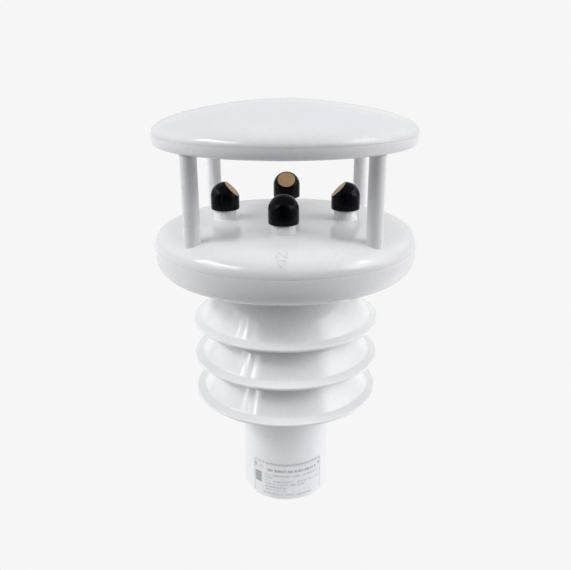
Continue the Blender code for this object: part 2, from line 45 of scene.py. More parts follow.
# ------------------------------------------------------------------ dimensions (as in the CAD)
TUBE_R, SOCKET_R, SOCKET_TOP, UPPER_BORE_R = 25.0, 21.5, 42.0, 15.5
FLANGE_Z0, FLANGE_Z1, FLANGE_R = 62.0, 66.0, 36.0
RIM_R, RIM_Z = 51.7, (65.7, 87.0, 108.3)
LIP_R, LIP_H, NECK_R, NECK_H, PLATE_T = 47.0, 2.75, 37.0, 20.0, 2.0
EAR_R, EAR_PCR, EAR_AZ = 4.3, 31.0, (90.0, 210.0, 330.0)
DECK_R, DECK_SEAM, DECK_H, DECK_P, DECK_Q = 70.4, 152.7, 11.61, 7.32, 2.273
PAN_BOT, PAN_R_IN, PAN_P, WALL = 136.4, 51.8, 3.0, 2.5
TOP_R, TOP_SEAM, TOP_H, TOP_P, TOP_Q, TOP_C = 68.6, 210.6, 16.5, 1.3, 2.275, 5.0
REFL_BOT, REFL_R_IN, REFL_P = 204.8, 64.5, 2.8
POST_PCR, POST_R = 61.7, 4.05
POST_AZ = {"front_left": 225.0, "front_right": 315.0, "back_left": 135.0, "back_right": 45.0}
SENSOR_PCR = 32.36
SENSOR_AZ = {"front": 270.0, "back": 90.0, "left": 180.0, "right": 0.0}
CAP_R, CAP_Z0, CAP_ZC, FACE_D, FACE_R = 7.65, 169.5, 176.3, 5.45, 5.08
PEDESTAL_R, STEM_R = 6.15, 3.6
PAN_SCREW_R = 56.0
SET_Z, SET_R, SET_AZ = 13.0, 2.4, (45.0, 135.0)


def polar(radius, az):
    a = math.radians(az)
    return radius * math.cos(a), radius * math.sin(a)


def top_height(r, big_r=TOP_R, h=TOP_H):
    rho = math.sqrt(r * r + TOP_C ** 2 * (1 - (r / big_r) ** 2))
    return TOP_SEAM + h * max(0.0, 1 - (rho / big_r) ** TOP_P) ** (1 / TOP_Q)


def deck_height(r, big_r=DECK_R, h=DECK_H):
    return DECK_SEAM + h * max(0.0, 1 - (r / big_r) ** DECK_P) ** (1 / DECK_Q)


def bowl(big_r, r_in, z_top, z_bot, power, n):
    pts = []
    for i in range(n + 1):
        t = math.pi / 2 * i / n
        pts.append((r_in + (big_r - r_in) * math.cos(t) ** (2 / power),
                    z_top - (z_top - z_bot) * math.sin(t) ** (2 / power)))
    return pts


def cone(z, offset=0.0):
    """Radius of a louvre plate's cone at height z above its rim, moved in by offset."""
    a, b = LIP_R - NECK_R, NECK_H - LIP_H
    return LIP_R - a * (z - LIP_H) / b - offset * math.hypot(a, b) / b


def resample(pts, step):
    """Even spacing along a profile, keeping its ends."""
    out = [pts[0]]
    for (r0, z0), (r1, z1) in zip(pts, pts[1:]):
        d = math.hypot(r1 - r0, z1 - z0)
        n = max(1, int(math.ceil(d / step)))
        for k in range(1, n + 1):
            out.append((r0 + (r1 - r0) * k / n, z0 + (z1 - z0) * k / n))
    return out


def soften(pts, closed=True, seg=4):
    """Rounds the corners of a profile.  Each point is (r, z) or (r, z, radius)."""
    out = []
    n = len(pts)
    for i, p in enumerate(pts):
        rad = p[2] if len(p) > 2 else 0.0
        if rad <= 0 or (not closed and i in (0, n - 1)):
            out.append((p[0], p[1]))
            continue
        a, b, c = Vector(pts[i - 1][:2]), Vector(p[:2]), Vector(pts[(i + 1) % n][:2])
        u, v = (a - b), (c - b)
        lu, lv = u.length, v.length
        u.normalize(); v.normalize()
        ang = math.acos(max(-1, min(1, u.dot(v))))
        if ang > math.radians(176):
            out.append((b.x, b.y))
            continue
        d = min(rad / math.tan(ang / 2), lu * 0.48, lv * 0.48)
        rr = d * math.tan(ang / 2)
        cen = b + (u + v).normalized() * (rr / math.sin(ang / 2))
        p0, p1 = b + u * d, b + v * d
        a0 = math.atan2(p0.y - cen.y, p0.x - cen.x)
        a1 = math.atan2(p1.y - cen.y, p1.x - cen.x)
        da = (a1 - a0 + math.pi) % (2 * math.pi) - math.pi
        for k in range(seg + 1):
            t = a0 + da * k / seg
            out.append((cen.x + rr * math.cos(t), cen.y + rr * math.sin(t)))
    return out


# ------------------------------------------------------------------ mesh helpers
def obj_from_bm(name, bm, smooth_angle=32.0):
    me = bpy.data.meshes.new(name)
    bm.normal_update()
    bm.to_mesh(me)
    bm.free()
    ob = bpy.data.objects.new(name, me)
    bpy.context.scene.collection.objects.link(ob)
    me.shade_smooth()
    if smooth_angle is not None:
        me.set_sharp_from_angle(angle=math.radians(smooth_angle))
    return ob


def spin_into(bm, prof, segs, centre=(0.0, 0.0), mat=None):
    """Adds a turned body to a bmesh.  Profile in mm, outer side from top to bottom."""
    rings = []
    for r, z in prof:
        if r < 1e-6:
            rings.append([bm.verts.new((centre[0] * MM, centre[1] * MM, z * MM))])
        else:
            rings.append([bm.verts.new(((centre[0] + r * math.cos(math.tau * j / segs)) * MM,
                                        (centre[1] + r * math.sin(math.tau * j / segs)) * MM, z * MM))
                          for j in range(segs)])
    n = len(rings)
    closed = prof[0][0] > 1e-6 or prof[-1][0] > 1e-6
    verts = []
    for i in range(n if closed else n - 1):
        a, b = rings[i], rings[(i + 1) % n]
        if len(a) == 1 and len(b) == 1:
            continue
        for j in range(segs):
            k = (j + 1) % segs
            if len(a) == 1:
                bm.faces.new((a[0], b[j], b[k]))
            elif len(b) == 1:
                bm.faces.new((a[j], b[0], a[k]))
            else:
                bm.faces.new((a[j], b[j], b[k], a[k]))
    for ring in rings:
        verts += ring
    if mat is not None:
        bmesh.ops.transform(bm, matrix=mat, verts=verts)
    return verts


def turned(name, prof, segs=160, centre=(0.0, 0.0), smooth_angle=32.0):
    bm = bmesh.new()
    spin_into(bm, prof, segs, centre)
    return obj_from_bm(name, bm, smooth_angle)


def solid_cyl(r, z0, z1, x=0.0, y=0.0, segs=48, name="tool"):
    return turned(name, [(0.0, z1), (r, z1), (r, z0), (0.0, z0)], segs, (x, y))


def hexagon(af, z0, z1, x=0.0, y=0.0, name="tool"):
    return turned(name, [(0.0, z1), (af / 2 / math.cos(math.pi / 6), z1),
                         (af / 2 / math.cos(math.pi / 6), z0), (0.0, z0)], 6, (x, y))


def cut(ob, tools, op='DIFFERENCE', smooth_angle=32.0, bevel=None):
    """Booleans applied at once; the tools are removed."""
    for t in tools:
        m = ob.modifiers.new("b", 'BOOLEAN')
        m.operation = op
        m.object = t
        m.solver = 'EXACT'
    if bevel:
        b = ob.modifiers.new("bevel", 'BEVEL')
        b.width = bevel * MM
        b.segments = 3
        b.limit_method = 'ANGLE'
        b.angle_limit = math.radians(40)
        b.use_clamp_overlap = True
    bpy.context.view_layer.update()
    dg = bpy.context.evaluated_depsgraph_get()
    me = bpy.data.meshes.new_from_object(ob.evaluated_get(dg))
    old = ob.data
    ob.modifiers.clear()
    ob.data = me
    bpy.data.meshes.remove(old)
    me.shade_smooth()
    me.set_sharp_from_angle(angle=math.radians(smooth_angle))
    for t in tools:
        old = t.data
        bpy.data.objects.remove(t, do_unlink=True)
        bpy.data.meshes.remove(old)
    return ob


# ------------------------------------------------------------------ materials
class Nodes:
    """Small helper round a material's node tree."""

    def __init__(self, name):
        self.mat = bpy.data.materials.new(name)
        self.mat.use_nodes = True
        self.t = self.mat.node_tree
        self.bsdf = self.t.nodes["Principled BSDF"]
        self.out = self.t.nodes["Material Output"]
        self.coord = self.t.nodes.new("ShaderNodeTexCoord")

    def link(self, a, b):
        self.t.links.new(a, b)

    def noise(self, scale, detail=4.0, rough=0.5, vec=None, distortion=0.0):
        n = self.t.nodes.new("ShaderNodeTexNoise")
        n.inputs["Scale"].default_value = scale
        n.inputs["Detail"].default_value = detail
        n.inputs["Roughness"].default_value = rough
        n.inputs["Distortion"].default_value = distortion
        self.link(vec or self.coord.outputs["Object"], n.inputs["Vector"])
        return n.outputs["Fac"]

    def mapping(self, scale, rot=(0, 0, 0)):
        m = self.t.nodes.new("ShaderNodeMapping")
        m.inputs["Scale"].default_value = scale
        m.inputs["Rotation"].default_value = rot
        self.link(self.coord.outputs["Object"], m.inputs["Vector"])
        return m.outputs["Vector"]

    def ramp(self, fac, stops, interp='LINEAR'):
        r = self.t.nodes.new("ShaderNodeValToRGB")
        r.color_ramp.interpolation = interp
        while len(r.color_ramp.elements) > 1:
            r.color_ramp.elements.remove(r.color_ramp.elements[-1])
        for i, (pos, col) in enumerate(stops):
            e = r.color_ramp.elements[0] if i == 0 else r.color_ramp.elements.new(pos)
            e.position = pos
            e.color = (*col, 1.0) if len(col) == 3 else col
        self.link(fac, r.inputs["Fac"])
        return r.outputs["Color"]

    def math(self, op, a, b=None, c=None, clamp=False):
        m = self.t.nodes.new("ShaderNodeMath")
        m.operation = op
        m.use_clamp = clamp
        for i, v in enumerate((a, b, c)):
            if v is None:
                continue
            if isinstance(v, (int, float)):
                m.inputs[i].default_value = v
            else:
                self.link(v, m.inputs[i])
        return m.outputs[0]

    def remap(self, val, a0, a1, b0, b1):
        m = self.t.nodes.new("ShaderNodeMapRange")
        for i, v in enumerate((a0, a1, b0, b1)):
            m.inputs[i + 1].default_value = v
        self.link(val, m.inputs[0])
        return m.outputs[0]

    def mix(self, fac, a, b, blend='MIX'):
        m = self.t.nodes.new("ShaderNodeMix")
        m.data_type = 'RGBA'
        m.blend_type = blend
        for sock, v in ((m.inputs[0], fac), (m.inputs[6], a), (m.inputs[7], b)):
            if isinstance(v, (int, float)):
                sock.default_value = v
            elif isinstance(v, tuple):
                sock.default_value = (*v, 1.0) if len(v) == 3 else v
            else:
                self.link(v, sock)
        return m.outputs[2]

    def bump(self, height, strength, distance, normal=None):
        b = self.t.nodes.new("ShaderNodeBump")
        b.inputs["Strength"].default_value = strength
        b.inputs["Distance"].default_value = distance
        self.link(height, b.inputs["Height"])
        if normal is not None:
            self.link(normal, b.inputs["Normal"])
        return b.outputs["Normal"]

    def set(self, **kw):
        for k, v in kw.items():
            self.bsdf.inputs[k.replace("_", " ")].default_value = v


def white_plastic(name, colour, rough, spread=0.05, peel=0.10, coat=0.0, spec=0.5):
    """Moulded gloss plastic: faint tone drift, uneven gloss, fine handling marks and orange peel."""
    n = Nodes(name)
    drift = n.noise(9.0, 3.0, 0.55)
    fine = n.noise(420.0, 3.0, 0.6)
    lo = tuple(c * 0.975 for c in colour)
    hi = tuple(min(1.0, c * 1.02) for c in colour)
    base = n.ramp(drift, [(0.35, lo), (0.65, hi)])
    speck = n.ramp(fine, [(0.30, (0.965, 0.965, 0.965)), (0.55, (1.0, 1.0, 1.0))])
    n.link(n.mix(1.0, base, speck, 'MULTIPLY'), n.bsdf.inputs["Base Color"])
    wipe = n.noise(1.0, 5.0, 0.6, n.mapping((38.0, 55.0, 140.0), (0.3, 0.2, 0.5)), 0.6)
    patch = n.noise(26.0, 4.0, 0.6)
    r = n.math('ADD', n.math('MULTIPLY', wipe, 0.6), n.math('MULTIPLY', patch, 0.4))
    n.link(n.remap(r, 0.35, 0.70, max(0.03, rough - spread), rough + spread), n.bsdf.inputs["Roughness"])
    peel_h = n.noise(260.0, 2.0, 0.5)
    n.link(n.bump(peel_h, peel, 0.00012), n.bsdf.inputs["Normal"])
    n.bsdf.inputs["Specular IOR Level"].default_value = spec
    n.bsdf.inputs["IOR"].default_value = 1.5
    if coat:
        n.bsdf.inputs["Coat Weight"].default_value = coat
        n.bsdf.inputs["Coat Roughness"].default_value = 0.04
    return n.mat


def black_plastic(name):
    n = Nodes(name)
    mott = n.noise(160.0, 4.0, 0.6)
    n.link(n.ramp(mott, [(0.3, (0.0008, 0.0012, 0.0034)), (0.7, (0.0016, 0.0022, 0.0052))]), n.bsdf.inputs["Base Color"])
    n.link(n.remap(n.noise(90.0, 5.0, 0.65), 0.3, 0.7, 0.19, 0.25), n.bsdf.inputs["Roughness"])
    n.link(n.bump(n.noise(1500.0, 3.0, 0.6), 0.12, 0.00008), n.bsdf.inputs["Normal"])
    n.bsdf.inputs["Specular IOR Level"].default_value = 0.10
    return n.mat


def tan_face(name):
    """Matching layer: resin filled with fine glass beads."""
    n = Nodes(name)
    v = n.t.nodes.new("ShaderNodeTexVoronoi")
    v.inputs["Scale"].default_value = 2600.0
    n.link(n.coord.outputs["Object"], v.inputs["Vector"])
    beads = n.ramp(v.outputs["Distance"], [(0.0, (0.86, 0.56, 0.30)), (0.5, (0.74, 0.455, 0.225)), (0.9, (0.64, 0.38, 0.175))])
    tone = n.ramp(n.noise(500.0, 4.0, 0.6), [(0.35, (0.92, 0.92, 0.92)), (0.65, (1.0, 1.0, 1.0))])
    n.link(n.mix(1.0, beads, tone, 'MULTIPLY'), n.bsdf.inputs["Base Color"])
    n.link(n.remap(n.noise(300.0, 3.0), 0.3, 0.7, 0.45, 0.62), n.bsdf.inputs["Roughness"])
    n.link(n.bump(v.outputs["Distance"], 0.25, 0.00008), n.bsdf.inputs["Normal"])
    return n.mat


def metal(name, colour, rough, turned_lines=True):
    n = Nodes(name)
    n.bsdf.inputs["Metallic"].default_value = 1.0
    sm = n.noise(700.0, 4.0, 0.6)
    n.link(n.ramp(sm, [(0.3, tuple(c * 0.86 for c in colour)), (0.7, colour)]), n.bsdf.inputs["Base Color"])
    vec = n.mapping((300.0, 300.0, 4200.0)) if turned_lines else n.mapping((900.0, 900.0, 900.0))
    lines = n.noise(1.0, 3.0, 0.6, vec)
    n.link(n.remap(lines, 0.3, 0.7, max(0.05, rough - 0.07), rough + 0.1), n.bsdf.inputs["Roughness"])
    n.link(n.bump(lines, 0.12, 0.00004), n.bsdf.inputs["Normal"])
    return n.mat


def rubber(name, colour=(0.02, 0.02, 0.022), rough=0.6):
    n = Nodes(name)
    n.link(n.ramp(n.noise(240.0, 4.0), [(0.3, tuple(c * 0.8 for c in colour)), (0.7, tuple(c * 1.3 for c in colour))]),
           n.bsdf.inputs["Base Color"])
    n.link(n.remap(n.noise(120.0, 3.0), 0.3, 0.7, rough - 0.08, rough + 0.08), n.bsdf.inputs["Roughness"])
    n.link(n.bump(n.noise(1800.0, 2.0), 0.2, 0.0001), n.bsdf.inputs["Normal"])
    return n.mat


def board_material(name):
    n = Nodes(name)
    v = n.t.nodes.new("ShaderNodeTexVoronoi")
    v.feature = 'DISTANCE_TO_EDGE'
    v.distance = 'EUCLIDEAN' if hasattr(v, "distance") else v.distance
    v.inputs["Scale"].default_value = 220.0
    n.link(n.coord.outputs["Object"], v.inputs["Vector"])
    tracks = n.ramp(v.outputs["Distance"], [(0.0, (0.07, 0.30, 0.13)), (0.06, (0.07, 0.30, 0.13)), (0.09, (0.02, 0.13, 0.06))])
    n.link(tracks, n.bsdf.inputs["Base Color"])
    n.link(n.remap(n.noise(60.0), 0.3, 0.7, 0.3, 0.45), n.bsdf.inputs["Roughness"])
    n.link(n.bump(v.outputs["Distance"], 0.2, 0.00008), n.bsdf.inputs["Normal"])
    return n.mat


def porous(name):
    n = Nodes(name)
    v = n.t.nodes.new("ShaderNodeTexVoronoi")
    v.inputs["Scale"].default_value = 1600.0
    n.link(n.coord.outputs["Object"], v.inputs["Vector"])
    n.link(n.ramp(v.outputs["Distance"], [(0.0, (0.80, 0.80, 0.78)), (0.7, (0.55, 0.55, 0.53))]), n.bsdf.inputs["Base Color"])
    n.link(n.remap(n.noise(200.0), 0.3, 0.7, 0.75, 0.9), n.bsdf.inputs["Roughness"])
    n.link(n.bump(v.outputs["Distance"], 0.5, 0.0002), n.bsdf.inputs["Normal"])
    return n.mat


def label_material(name):
    """Silver film with greeked print: bars and blocks only, no letters; a painted shade line runs along its upper edge.
    """
    n = Nodes(name)
    uv = n.t.nodes.new("ShaderNodeSeparateXYZ")
    n.link(n.coord.outputs["UV"], uv.inputs[0])
    u, v = uv.outputs[0], uv.outputs[1]

    def inside(a, lo, hi, soft=0.004):
        up = n.remap(a, lo - soft, lo + soft, 0.0, 1.0)
        dn = n.remap(a, hi - soft, hi + soft, 1.0, 0.0)
        return n.math('MULTIPLY', up, dn)

    def rect(u0, u1, v0, v1):
        return n.math('MULTIPLY', inside(u, u0, u1), inside(v, v0, v1, 0.008))

    def words(scale, seed, thr):
        """Stroke-like breaks along a line of print."""
        comb = n.t.nodes.new("ShaderNodeCombineXYZ")
        n.link(n.math('MULTIPLY', u, scale), comb.inputs[0])
        comb.inputs[1].default_value = seed
        w = n.t.nodes.new("ShaderNodeTexNoise")
        w.inputs["Scale"].default_value = 1.0
        w.inputs["Detail"].default_value = 2.0
        n.link(comb.outputs[0], w.inputs["Vector"])
        return n.remap(w.outputs["Fac"], thr - 0.05, thr + 0.05, 0.0, 1.0)

    print_and_edge_shade_marks = []
    # heading line, then shorter lines of small print
    lines = [(0.215, 0.905, 0.752, 0.828, 34.0, 0.46, 0.58),
             (0.185, 0.66, 0.610, 0.665, 60.0, 0.45, 0.36),
             (0.70, 0.97, 0.610, 0.665, 60.0, 0.45, 0.32),
             (0.185, 0.30, 0.525, 0.575, 60.0, 0.40, 0.34),
             (0.185, 0.58, 0.430, 0.485, 60.0, 0.45, 0.36),
             (0.62, 0.96, 0.430, 0.485, 60.0, 0.47, 0.32),
             (0.185, 0.72, 0.335, 0.390, 60.0, 0.45, 0.34),
             (0.185, 0.50, 0.240, 0.295, 60.0, 0.42, 0.34),
             (0.185, 0.46, 0.145, 0.200, 60.0, 0.45, 0.34),
             (0.16, 0.84, 0.040, 0.080, 60.0, 0.42, 0.38)]
    for i, (u0, u1, v0, v1, sc, thr, k) in enumerate(lines):
        print_and_edge_shade_marks.append(n.math('MULTIPLY', n.math('MULTIPLY', rect(u0, u1, v0, v1), words(sc, 3.7 * i, thr)), k))
    # plain panel at the left: four stacked bars in place of a code
    for j in range(5):
        print_and_edge_shade_marks.append(n.math('MULTIPLY', rect(0.030, 0.135, 0.345 + 0.066 * j, 0.396 + 0.066 * j), 0.78))
    print_and_edge_shade_marks.append(n.math('MULTIPLY', rect(0.020, 0.062, 0.79, 0.92), 0.42))
    print_and_edge_shade_marks.append(n.math('MULTIPLY', rect(0.945, 0.975, 0.79, 0.89), 0.55))
    # painted shade: a thin dark band along the film's cut upper edge, strongest at the middle and fading towards the
    # sides
    side = n.math('ABSOLUTE', n.math('SUBTRACT', u, 0.5))
    painted_edge_shade = n.math('MULTIPLY', n.remap(v, 0.925, 0.975, 0.0, 1.0), n.remap(side, 0.12, 0.50, 1.0, 0.35))
    print_and_edge_shade_marks.append(n.math('MULTIPLY', painted_edge_shade, 0.40))
    # the film also darkens towards its left and right ends
    print_and_edge_shade_marks.append(n.remap(side, 0.465, 0.50, 0.0, 0.30))
    # print and the painted edge shade are summed into one dark mask
    print_and_edge_shade = print_and_edge_shade_marks[0]
    for k in print_and_edge_shade_marks[1:]:
        print_and_edge_shade = n.math('ADD', print_and_edge_shade, k, clamp=True)
    film = n.ramp(n.noise(60.0, 4.0, 0.6), [(0.3, (0.80, 0.81, 0.83)), (0.7, (0.87, 0.88, 0.90))])
    tint = n.mix(rect(0.070, 0.165, 0.795, 0.865), film, (0.82, 0.67, 0.63))
    col = n.mix(print_and_edge_shade, tint, (0.13, 0.135, 0.145))
    n.link(col, n.bsdf.inputs["Base Color"])
    n.bsdf.inputs["Metallic"].default_value = 0.15
    crease = n.noise(1.0, 3.0, 0.5, n.mapping((60.0, 60.0, 22.0)))
    n.link(n.remap(crease, 0.3, 0.7, 0.20, 0.34), n.bsdf.inputs["Roughness"])
    n.link(n.bump(crease, 0.18, 0.0004), n.bsdf.inputs["Normal"])
    return n.mat


M_HOUSING = white_plastic("housing_white_gloss", (0.865, 0.870, 0.880), 0.17, 0.05, 0.06)
M_DECK = white_plastic("deck_white_gloss", (0.865, 0.870, 0.880), 0.13, 0.05, 0.05)
M_LOUVRE = white_plastic("louvre_white_high_gloss", (0.870, 0.873, 0.870), 0.085, 0.035, 0.05)
M_POST = white_plastic("post_white_satin", (0.860, 0.865, 0.875), 0.28, 0.012, 0.02)
M_TUBE = white_plastic("tube_white_satin", (0.850, 0.855, 0.875), 0.30, 0.012, 0.03)
M_BLACK = black_plastic("cap_black_satin")
M_FACE = tan_face("transducer_tan")
M_STEEL = metal("screw_steel", (0.62, 0.62, 0.61), 0.28)
M_DARK = metal("set_screw_steel", (0.30, 0.30, 0.31), 0.34)
M_NICKEL = metal("connector_nickel", (0.63, 0.64, 0.65), 0.20)
M_BRASS = metal("nut_brass", (0.70, 0.52, 0.24), 0.28)
M_GOLD = metal("pin_gold", (0.86, 0.62, 0.20), 0.20)
M_RUBBER = rubber("seal_rubber")
M_INSERT = rubber("insert_black", (0.018, 0.018, 0.018), 0.45)
M_CABLE = rubber("cable_black", (0.022, 0.022, 0.022), 0.5)
M_BOARD = board_material("board_green")
M_FILTER = porous("filter_sintered")
M_LABEL = label_material("label_film_print_and_painted_edge_shade")


def piece(ob, mat, nodes=(), body=STATION):
    ob.data.materials.clear()
    ob.data.materials.append(mat)
    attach(ob, body)
    if nodes:
        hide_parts(*nodes)
    return ob


# ------------------------------------------------------------------ upper disc
def crown_pts(height, big_r, n, seam_gap):
    pts = []
    for i in range(n + 1):
        t = math.pi / 2 * i / n
        r = big_r * math.sin(t)
        pts.append((r, height(r)))
    # drop the last points that crowd the seam, and end on a small lip
    pts = [p for p in pts if p[1] > height(big_r) + seam_gap + 0.24]
    pts += [(big_r - 0.01, height(big_r) + seam_gap + 0.16), (big_r - 0.035, height(big_r) + seam_gap + 0.05),
            (big_r - 0.10, height(big_r) + seam_gap)]
    return pts


outer = crown_pts(top_height, TOP_R, 72, 0.03)
inner = [(r, z) for r, z in
         [(f * (TOP_R - WALL), top_height(f * (TOP_R - WALL), TOP_R - WALL, TOP_H - WALL))
          for f in (1.0, 0.995, 0.97, 0.92, 0.82, 0.65, 0.4, 0.2, 0.0)]]
inner[0] = (TOP_R - WALL, TOP_SEAM + 0.03)
piece(turned("upper_cover", outer + inner, 192), M_HOUSING, ["top_cover"])

low = bowl(TOP_R, REFL_R_IN, TOP_SEAM - 0.03, REFL_BOT, REFL_P, 22)
low = ([(TOP_R - 0.10, TOP_SEAM - 0.03), (TOP_R - 0.035, TOP_SEAM - 0.08), (TOP_R - 0.01, TOP_SEAM - 0.19)]
       + [p for p in low if p[1] < TOP_SEAM - 0.3])
under = [(60.0, REFL_BOT), (56.6, REFL_BOT), (56.2, REFL_BOT + 0.35), (30.0, REFL_BOT + 0.35), (0.0, REFL_BOT + 0.35)]
low_in = bowl(TOP_R - WALL, REFL_R_IN - WALL, TOP_SEAM - 0.03, REFL_BOT + WALL, REFL_P, 6)
piece(turned("upper_reflector", low + under + [(0.0, REFL_BOT + WALL)] + low_in[::-1], 192),
      M_HOUSING, ["reflector_plate"])

# ------------------------------------------------------------------ lower disc
bm = bmesh.new()
outer = crown_pts(deck_height, DECK_R, 84, 0.035)
inner = [(f * (DECK_R - WALL), deck_height(f * (DECK_R - WALL), DECK_R - WALL, DECK_H - WALL))
         for f in (1.0, 0.995, 0.97, 0.92, 0.82, 0.65, 0.4, 0.2, 0.0)]
inner[0] = (DECK_R - WALL, DECK_SEAM + 0.035)
spin_into(bm, outer + inner, 192)
for tag, az in SENSOR_AZ.items():
    x, y = polar(SENSOR_PCR, az)
    zs = deck_height(SENSOR_PCR)
    prof = [(STEM_R + 0.2, CAP_Z0 - 0.3), (PEDESTAL_R - 0.35, CAP_Z0 - 0.3), (PEDESTAL_R - 0.1, CAP_Z0 - 0.4),
            (PEDESTAL_R, CAP_Z0 - 0.65), (PEDESTAL_R, zs + 0.55), (PEDESTAL_R + 0.12, zs + 0.28),
            (PEDESTAL_R + 0.45, zs + 0.05), (PEDESTAL_R + 0.9, zs - 0.35), (STEM_R + 0.2, zs - 0.8)]
    spin_into(bm, prof, 64, (x, y))
for tag, az in POST_AZ.items():
    x, y = polar(POST_PCR, az)
    z1 = deck_height(POST_PCR - POST_R)
    prof = [(0.0, z1 - 0.02), (POST_R - 0.05, z1 - 0.02), (POST_R - 0.05, 160.4), (0.0, 160.4)]
    spin_into(bm, prof, 48, (x, y))
piece(obj_from_bm("lower_deck", bm), M_DECK, ["deck_shell"])

low = bowl(DECK_R, PAN_R_IN, DECK_SEAM - 0.035, PAN_BOT, PAN_P, 40)
low = ([(DECK_R - 0.11, DECK_SEAM - 0.035), (DECK_R - 0.04, DECK_SEAM - 0.09), (DECK_R - 0.01, DECK_SEAM - 0.20)]
       + [p for p in low if p[1] < DECK_SEAM - 0.3])
low_in = bowl(DECK_R - WALL, PAN_R_IN - WALL, DECK_SEAM - 0.035, PAN_BOT + WALL, PAN_P, 10)
boss = soften([(36.5, PAN_BOT, 0.0), (36.5, 129.5, 0.5), (26.5, 129.5, 0.5), (26.5, PAN_BOT, 0.0), (6.6, PAN_BOT, 0.0),
               (6.6, PAN_BOT + WALL, 0.0)], closed=False)
pan = turned("lower_pan", low[:-1] + [(PAN_R_IN, PAN_BOT), (37.6, PAN_BOT), (36.8, PAN_BOT - 0.25), (36.5, PAN_BOT - 1.0)] + boss[1:] + low_in[::-1], 160)
tools = []
for az in (270.0, 90.0, 180.0, 0.0):
    x, y = polar(PAN_SCREW_R, az)
    tools.append(solid_cyl(3.3, 133.0, 138.6, x, y, 40))
for az in EAR_AZ:
    x, y = polar(EAR_PCR, az)
    tools.append(solid_cyl(1.8, 127.0, 135.5, x, y, 24))
scallop = turned("tool", [(0.0, 7.0), (18.0, 7.0), (18.0, -7.0), (0.0, -7.0)], 220)
scallop.data.transform(Matrix.Translation(Vector((-1.9, -68.66, 121.06)) * MM) @ Matrix.Rotation(math.radians(70.5), 4, 'X'))
tools.append(scallop)
cut(pan, tools)
piece(pan, M_HOUSING, ["deck_pan"])

# raised north mark: an N and an outlined arrow on the front slope
def stroke(points, width, name):
    """Ridge that follows the deck's slope."""
    cu = bpy.data.curves.new(name, 'CURVE')
    cu.dimensions = '3D'
    cu.bevel_depth = width / 2 * MM
    cu.bevel_resolution = 3
    cu.use_fill_caps = True
    for line in points:
        dense = []
        for (x0, y0), (x1, y1) in zip(line, line[1:]):
            for k in range(8):
                t = k / 8
                dense.append((x0 + (x1 - x0) * t, y0 + (y1 - y0) * t))
        dense.append(line[-1])
        sp = cu.splines.new('POLY')
        sp.points.add(len(dense) - 1)
        for p, (x, y) in zip(sp.points, dense):
            r = math.hypot(x, y)
            p.co = (x * MM, y * MM, (deck_height(r) - width * 0.05) * MM, 1.0)
    ob = bpy.data.objects.new(name, cu)
    bpy.context.scene.collection.objects.link(ob)
    bpy.context.view_layer.update()
    me = bpy.data.meshes.new_from_object(ob.evaluated_get(bpy.context.evaluated_depsgraph_get()))
    bpy.data.objects.remove(ob, do_unlink=True)
    b = bmesh.new()
    b.from_mesh(me)
    bmesh.ops.remove_doubles(b, verts=b.verts, dist=1e-7)
    bpy.data.meshes.remove(me)
    return obj_from_bm(name, b, 60)


N_W, N_R0, N_R1 = 4.2, 59.2, 64.3
mark = stroke([[(-N_W / 2, -N_R1), (-N_W / 2, -N_R0), (N_W / 2, -N_R1), (N_W / 2, -N_R0)],
               [(-2.2, -65.5), (0.0, -68.6), (2.2, -65.5), (-2.2, -65.5)]], 0.72, "north_mark")
piece(mark, M_DECK)

# ------------------------------------------------------------------ posts
for tag, az in POST_AZ.items():
    x, y = polar(POST_PCR, az)
    z0, z1 = 160.6, REFL_BOT + 0.1
    prof = [(1.8, z1), (POST_R - 0.15, z1), (POST_R, z1 - 0.15), (POST_R, z0), (1.8, z0)]
    piece(turned("post_" + tag, prof, 72, (x, y)), M_POST, ["support_post_" + tag])

# ------------------------------------------------------------------ transducers
for tag, az in SENSOR_AZ.items():
    x, y = polar(SENSOR_PCR, az)
    a = math.radians(az)
    nrm = Vector((-math.cos(a), -math.sin(a), 1.0)).normalized()
    centre = Vector((x, y, CAP_ZC))
    dome = [(CAP_R * math.cos(t), CAP_ZC + CAP_R * math.sin(t)) for t in
            [math.pi / 2 * (1 - i / 26) for i in range(27)]]
    dome[0] = (0.0, CAP_ZC + CAP_R)
    low = [(CAP_R, CAP_Z0 + 4.0), (CAP_R, CAP_Z0 + 0.45), (CAP_R - 0.12, CAP_Z0 + 0.14), (CAP_R - 0.42, CAP_Z0),
           (STEM_R, CAP_Z0), (STEM_R, 156.4), (0.0, 156.4)]
    cap = turned("cap_" + tag, dome + low, 96, (x, y))
    rot = nrm.to_track_quat('Z', 'Y').to_matrix().to_4x4()
    b = bmesh.new()
    bmesh.ops.create_cube(b, size=1.0, matrix=Matrix.Translation((centre + nrm * (FACE_D + 5.0)) * MM) @ rot
                          @ Matrix.Diagonal((0.024, 0.024, 0.010, 1.0)))
    plane_tool = obj_from_bm("tool", b)
    b = bmesh.new()
    spin_into(b, [(0.0, 4.0), (FACE_R + 0.10, 4.0), (FACE_R + 0.10, -0.55), (0.0, -0.55)], 72,
              mat=Matrix.Translation((centre + nrm * FACE_D) * MM) @ rot)
    ring_tool = obj_from_bm("tool", b)
    cut(cap, [plane_tool, ring_tool], bevel=0.07, smooth_angle=30)
    piece(cap, M_BLACK, ["transducer_cap_" + tag])
    b = bmesh.new()
    spin_into(b, [(0.0, -0.10), (FACE_R - 0.15, -0.10), (FACE_R - 0.04, -0.14), (FACE_R, -0.25), (FACE_R, -0.52), (0.0, -0.52)], 72,
              mat=Matrix.Translation((centre + nrm * FACE_D) * MM) @ rot)
    piece(obj_from_bm("face_" + tag, b), M_FACE, ["transducer_face_" + tag])

